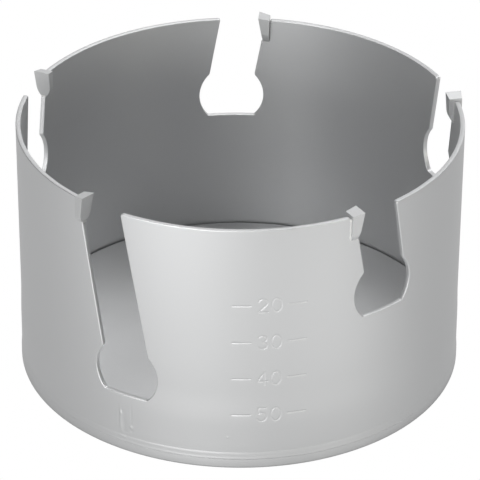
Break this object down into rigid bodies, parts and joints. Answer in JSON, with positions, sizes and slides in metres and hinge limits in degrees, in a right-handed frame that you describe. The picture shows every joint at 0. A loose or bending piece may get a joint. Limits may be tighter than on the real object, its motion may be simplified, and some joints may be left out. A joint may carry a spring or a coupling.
{
  "type": "hole saw",
  "caption": "Large cup-shaped hole saw: a thin rolled band with slanted keyhole gullets and brazed carbide tips, on a flat round base with a threaded arbor hole.",
  "frame": {"origin": "centre of the base plate's underside, on the saw's axis, which is also the centre of the drive pin circle", "axes": "+Z along the saw's axis, from the base plate towards the teeth; -Y faces the viewer in front, where the gullet over the band's seam is front left; the mounts' axes point down, out of the base plate"},
  "size_m": [0.1093, 0.1099, 0.0661],
  "materials": {
    "band_paint": "satin silver-grey lacquer over rolled steel strip",
    "plate_paint": "satin silver-grey lacquer over turned steel",
    "weld_paint": "satin silver-grey lacquer over a weld bead",
    "carbide": "ground tungsten carbide under a thin silver-grey lacquer"
  },
  "bodies": {
    "root": {"saw_band": "band_paint", "base_plate": "plate_paint", "base_weld": "weld_paint", "carbide_tip_1": "carbide", "carbide_tip_2": "carbide", "carbide_tip_3": "carbide", "carbide_tip_4": "carbide", "carbide_tip_5": "carbide"}
  },
  "joints": []
}
